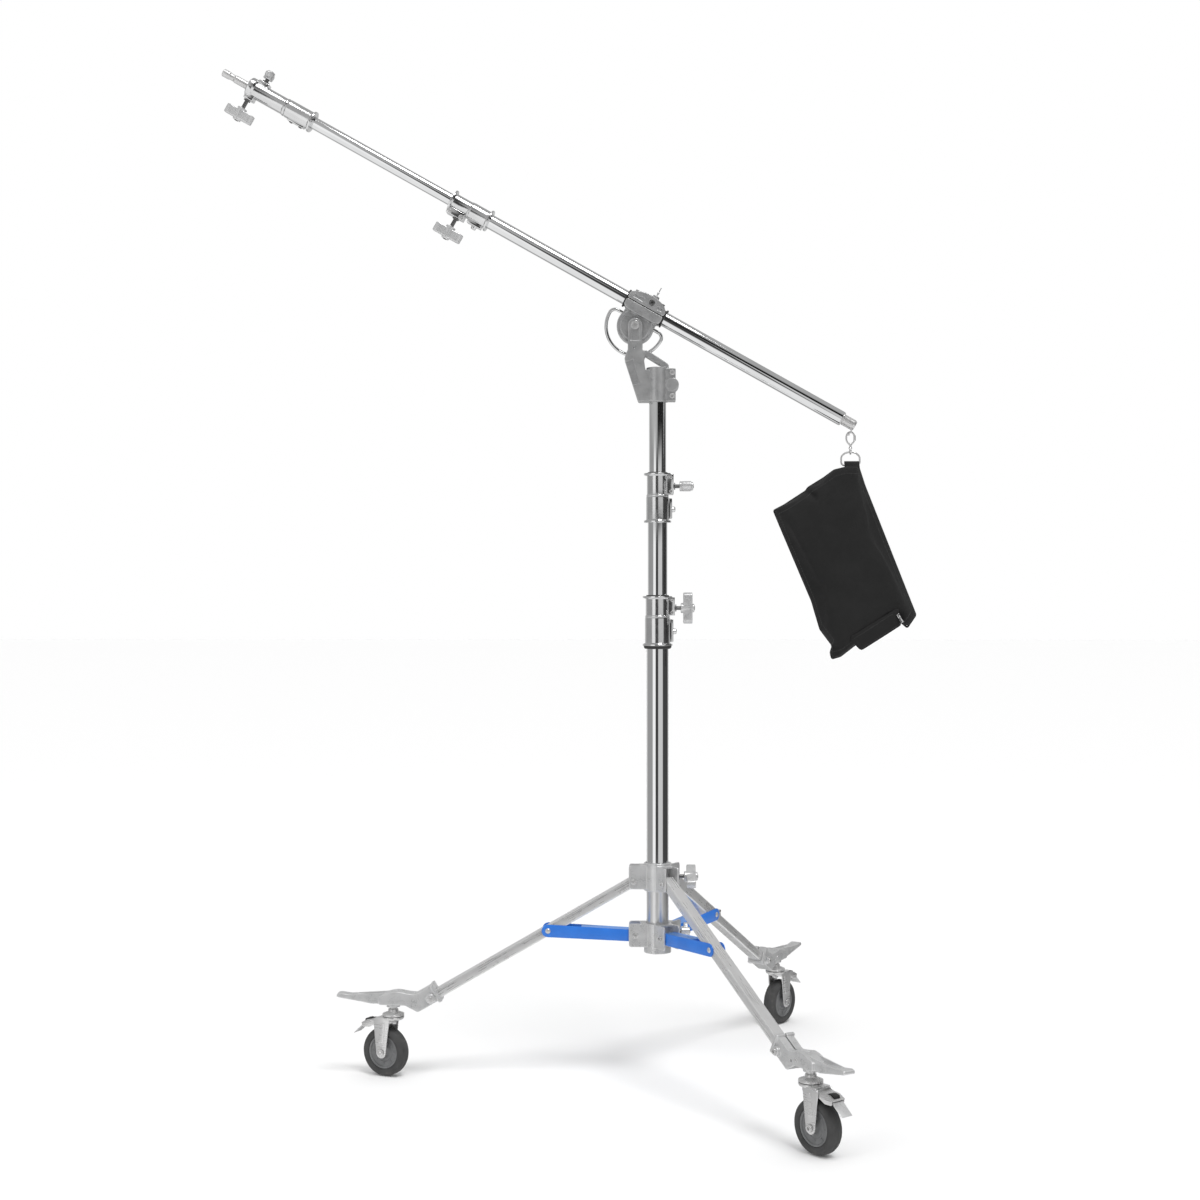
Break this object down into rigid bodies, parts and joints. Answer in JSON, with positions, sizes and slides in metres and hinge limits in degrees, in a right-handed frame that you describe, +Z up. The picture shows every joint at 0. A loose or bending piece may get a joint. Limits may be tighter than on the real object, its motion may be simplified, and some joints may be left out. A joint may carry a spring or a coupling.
{
  "type": "rolling boom stand",
  "caption": "Rolling studio boom stand: folding braced legs on braked casters, telescoping column, tilting telescopic boom with clamp knobs and a hanging sandbag.",
  "frame": {"origin": "centre of the standing stand's outline, on the floor", "axes": "+Z up the column; the boom lies in the XZ plane with its working end towards -X; +Y is away from the viewer"},
  "size_m": [1.43, 1.1594, 2.0849],
  "materials": {
    "chrome": "polished chrome plate",
    "satin": "satin nickel plate",
    "casting": "die-cast, satin silver",
    "paint": "blue powder coat",
    "tyre": "matt grey rubber",
    "hub": "moulded grey plastic",
    "plastic": "black plastic",
    "fabric": "black woven nylon"
  },
  "bodies": {
    "base": {"base_tube": "chrome", "brace_collar": "casting", "base_collar": "casting"},
    "leg_slider": {"leg_collar": "casting", "left_leg_bolt": "satin", "front_leg_bolt": "satin", "rear_leg_bolt": "satin"},
    "left_leg": {"left_leg": "satin", "left_foot": "casting", "left_caster_stem": "satin"},
    "front_leg": {"front_leg": "satin", "front_foot": "casting", "front_caster_stem": "satin"},
    "rear_leg": {"rear_leg_sleeve": "satin"},
    "rear_leg_slide": {"rear_leg_inner": "satin", "rear_foot": "casting", "rear_caster_stem": "satin"},
    "left_brace": {"left_brace": "paint"},
    "left_fork": {"left_caster_fork": "satin", "left_caster_axle": "satin"},
    "left_wheel": {"left_caster_tyre": "tyre", "left_caster_hub": "hub"},
    "left_pedal": {"left_caster_pedal": "satin"},
    "front_brace": {"front_brace": "paint"},
    "front_fork": {"front_caster_fork": "satin", "front_caster_axle": "satin"},
    "front_wheel": {"front_caster_tyre": "tyre", "front_caster_hub": "hub"},
    "front_pedal": {"front_caster_pedal": "satin"},
    "rear_brace": {"rear_brace": "paint"},
    "rear_fork": {"rear_caster_fork": "satin", "rear_caster_axle": "satin"},
    "rear_wheel": {"rear_caster_tyre": "tyre", "rear_caster_hub": "hub"},
    "rear_pedal": {"rear_caster_pedal": "satin"},
    "riser_1": {"riser_1": "chrome", "riser_collar": "casting"},
    "riser_2": {"riser_2": "chrome"},
    "bracket": {"bracket": "casting", "tilt_bolt": "satin"},
    "tilt_head": {"boom_clamp_base": "casting", "boom_clamp_cap": "casting", "boom_clamp_liner": "plastic", "tilt_arc": "satin"},
    "boom": {"boom_tube": "chrome", "boom_end_plug": "satin", "boom_collar": "casting"},
    "boom_extension": {"boom_extension": "chrome", "boom_head": "casting"},
    "spigot": {"spigot": "chrome"},
    "hook": {"snap_hook": "satin"},
    "bag": {"d_ring": "satin", "sandbag": "fabric"},
    "base_collar_knob": {"base_collar_knob": "casting"},
    "riser_collar_knob": {"riser_collar_knob": "casting"},
    "leg_collar_knob": {"leg_collar_knob": "casting"},
    "brace_collar_knob": {"brace_collar_knob": "casting"},
    "boom_collar_knob": {"boom_collar_knob": "casting"},
    "head_knob": {"head_knob": "casting"},
    "head_lock_knob": {"head_lock_knob": "casting"}
  },
  "joints": [
    {"name": "leg_fold", "type": "slide", "parent": "base", "child": "leg_slider", "axis": [0, 0, 1], "range_m": [0, 0.26697]},
    {"name": "left_leg_hinge", "type": "hinge", "parent": "leg_slider", "child": "left_leg", "pos_m": [0.1395, 0, 0.406], "axis": [0, -1, 0], "range_deg": [0, 50.1]},
    {"name": "left_brace_hinge", "type": "hinge", "parent": "base", "child": "left_brace", "pos_m": [0.1435, 0, 0.2965], "axis": [0, -1, 0], "range_deg": [-75.1, 0]},
    {"name": "left_swivel", "type": "hinge", "parent": "left_leg", "child": "left_fork", "pos_m": [-0.3575, 0, 0.12], "axis": [0, 0, 1], "continuous": true},
    {"name": "left_wheel_spin", "type": "hinge", "parent": "left_fork", "child": "left_wheel", "pos_m": [-0.37381, 0.00761, 0.05], "axis": [-0.4226, -0.9063, 0], "continuous": true},
    {"name": "left_brake", "type": "hinge", "parent": "left_fork", "child": "left_pedal", "pos_m": [-0.38469, 0.01268, 0.112], "axis": [-0.4226, -0.9063, 0], "range_deg": [0, 8]},
    {"name": "front_leg_hinge", "type": "hinge", "parent": "leg_slider", "child": "front_leg", "pos_m": [0.213, -0.04244, 0.406], "axis": [0.866, 0.5, 0], "range_deg": [0, 50.1]},
    {"name": "front_brace_hinge", "type": "hinge", "parent": "base", "child": "front_brace", "pos_m": [0.211, -0.03897, 0.2965], "axis": [0.866, 0.5, 0], "range_deg": [-75.1, 0]},
    {"name": "front_swivel", "type": "hinge", "parent": "front_leg", "child": "front_fork", "pos_m": [0.4615, -0.47285, 0.12], "axis": [0, 0, 1], "continuous": true},
    {"name": "front_wheel_spin", "type": "hinge", "parent": "front_fork", "child": "front_wheel", "pos_m": [0.47307, -0.48664, 0.05], "axis": [0.766, 0.6428, 0], "continuous": true},
    {"name": "front_brake", "type": "hinge", "parent": "front_fork", "child": "front_pedal", "pos_m": [0.48078, -0.49583, 0.112], "axis": [0.766, 0.6428, 0], "range_deg": [0, 8]},
    {"name": "rear_leg_hinge", "type": "hinge", "parent": "leg_slider", "child": "rear_leg", "pos_m": [0.213, 0.04244, 0.406], "axis": [-0.866, 0.5, 0], "range_deg": [0, 50.1]},
    {"name": "rear_brace_hinge", "type": "hinge", "parent": "base", "child": "rear_brace", "pos_m": [0.211, 0.03897, 0.2965], "axis": [-0.866, 0.5, 0], "range_deg": [-75.1, 0]},
    {"name": "rear_leg_level", "type": "slide", "parent": "rear_leg", "child": "rear_leg_slide", "axis": [0.433, 0.75, -0.5], "range_m": [-0.05, 0.11]},
    {"name": "rear_swivel", "type": "hinge", "parent": "rear_leg_slide", "child": "rear_fork", "pos_m": [0.4615, 0.47285, 0.12], "axis": [0, 0, 1], "continuous": true},
    {"name": "rear_wheel_spin", "type": "hinge", "parent": "rear_fork", "child": "rear_wheel", "pos_m": [0.47233, 0.48723, 0.05], "axis": [-0.7986, 0.6018, 0], "continuous": true},
    {"name": "rear_brake", "type": "hinge", "parent": "rear_fork", "child": "rear_pedal", "pos_m": [0.47955, 0.49681, 0.112], "axis": [-0.7986, 0.6018, 0], "range_deg": [0, 8]},
    {"name": "riser_1_slide", "type": "slide", "parent": "base", "child": "riser_1", "axis": [0, 0, 1], "range_m": [-0.14, 0.38]},
    {"name": "riser_2_slide", "type": "slide", "parent": "riser_1", "child": "riser_2", "axis": [0, 0, 1], "range_m": [-0.135, 0.45]},
    {"name": "boom_pan", "type": "hinge", "parent": "riser_2", "child": "bracket", "pos_m": [0.1885, 0, 1.42], "axis": [0, 0, 1], "continuous": true},
    {"name": "boom_tilt", "type": "hinge", "parent": "bracket", "child": "tilt_head", "pos_m": [0.1425, 0, 1.547], "axis": [0, 1, 0], "range_deg": [-60, 15]},
    {"name": "boom_slide", "type": "slide", "parent": "tilt_head", "child": "boom", "axis": [-0.8704, 0, 0.4924], "range_m": [-0.28, 0.1]},
    {"name": "boom_reach", "type": "slide", "parent": "boom", "child": "boom_extension", "axis": [-0.8704, 0, 0.4924], "range_m": [-0.3, 0.25]},
    {"name": "spigot_pull", "type": "slide", "parent": "boom_extension", "child": "spigot", "axis": [-0.8704, 0, 0.4924], "range_m": [0, 0.05]},
    {"name": "hook_swing", "type": "hinge", "parent": "boom", "child": "hook", "pos_m": [0.5835, 0, 1.327], "axis": [0, -1, 0], "range_deg": [-30, 5]},
    {"name": "bag_swing", "type": "hinge", "parent": "hook", "child": "bag", "pos_m": [0.5835, 0, 1.2855], "axis": [0, -1, 0], "range_deg": [-25, 20]},
    {"name": "base_collar_knob_turn", "type": "hinge", "parent": "base", "child": "base_collar_knob", "pos_m": [0.2243, 0, 0.9675], "axis": [1, 0, 0], "range_deg": [0, 90]},
    {"name": "riser_collar_knob_turn", "type": "hinge", "parent": "riser_1", "child": "riser_collar_knob", "pos_m": [0.2218, 0, 1.2179], "axis": [1, 0, 0], "range_deg": [0, 90]},
    {"name": "leg_collar_knob_turn", "type": "hinge", "parent": "leg_slider", "child": "leg_collar_knob", "pos_m": [0.231, 0, 0.416], "axis": [1, 0, 0], "range_deg": [0, 90]},
    {"name": "brace_collar_knob_turn", "type": "hinge", "parent": "base", "child": "brace_collar_knob", "pos_m": [0.229, 0, 0.303], "axis": [1, 0, 0], "range_deg": [0, 90]},
    {"name": "boom_collar_knob_turn", "type": "hinge", "parent": "boom", "child": "boom_collar_knob", "pos_m": [-0.22752, 0, 1.77232], "axis": [-0.4924, 0, -0.8704], "range_deg": [0, 90]},
    {"name": "head_knob_turn", "type": "hinge", "parent": "boom_extension", "child": "head_knob", "pos_m": [-0.66132, 0, 2.02097], "axis": [-0.4924, 0, -0.8704], "range_deg": [0, 90]},
    {"name": "head_lock_knob_turn", "type": "hinge", "parent": "boom_extension", "child": "head_lock_knob", "pos_m": [-0.62346, 0, 2.05539], "axis": [0.4924, 0, 0.8704], "range_deg": [0, 90]}
  ],
  "couplings": [
    {"joint": "left_leg_hinge", "follows": "leg_fold", "rad_per_m": 3.2688},
    {"joint": "left_brace_hinge", "follows": "leg_fold", "rad_per_m": -4.8994},
    {"joint": "front_leg_hinge", "follows": "leg_fold", "rad_per_m": 3.2688},
    {"joint": "front_brace_hinge", "follows": "leg_fold", "rad_per_m": -4.8994},
    {"joint": "rear_leg_hinge", "follows": "leg_fold", "rad_per_m": 3.2688},
    {"joint": "rear_brace_hinge", "follows": "leg_fold", "rad_per_m": -4.8994}
  ]
}
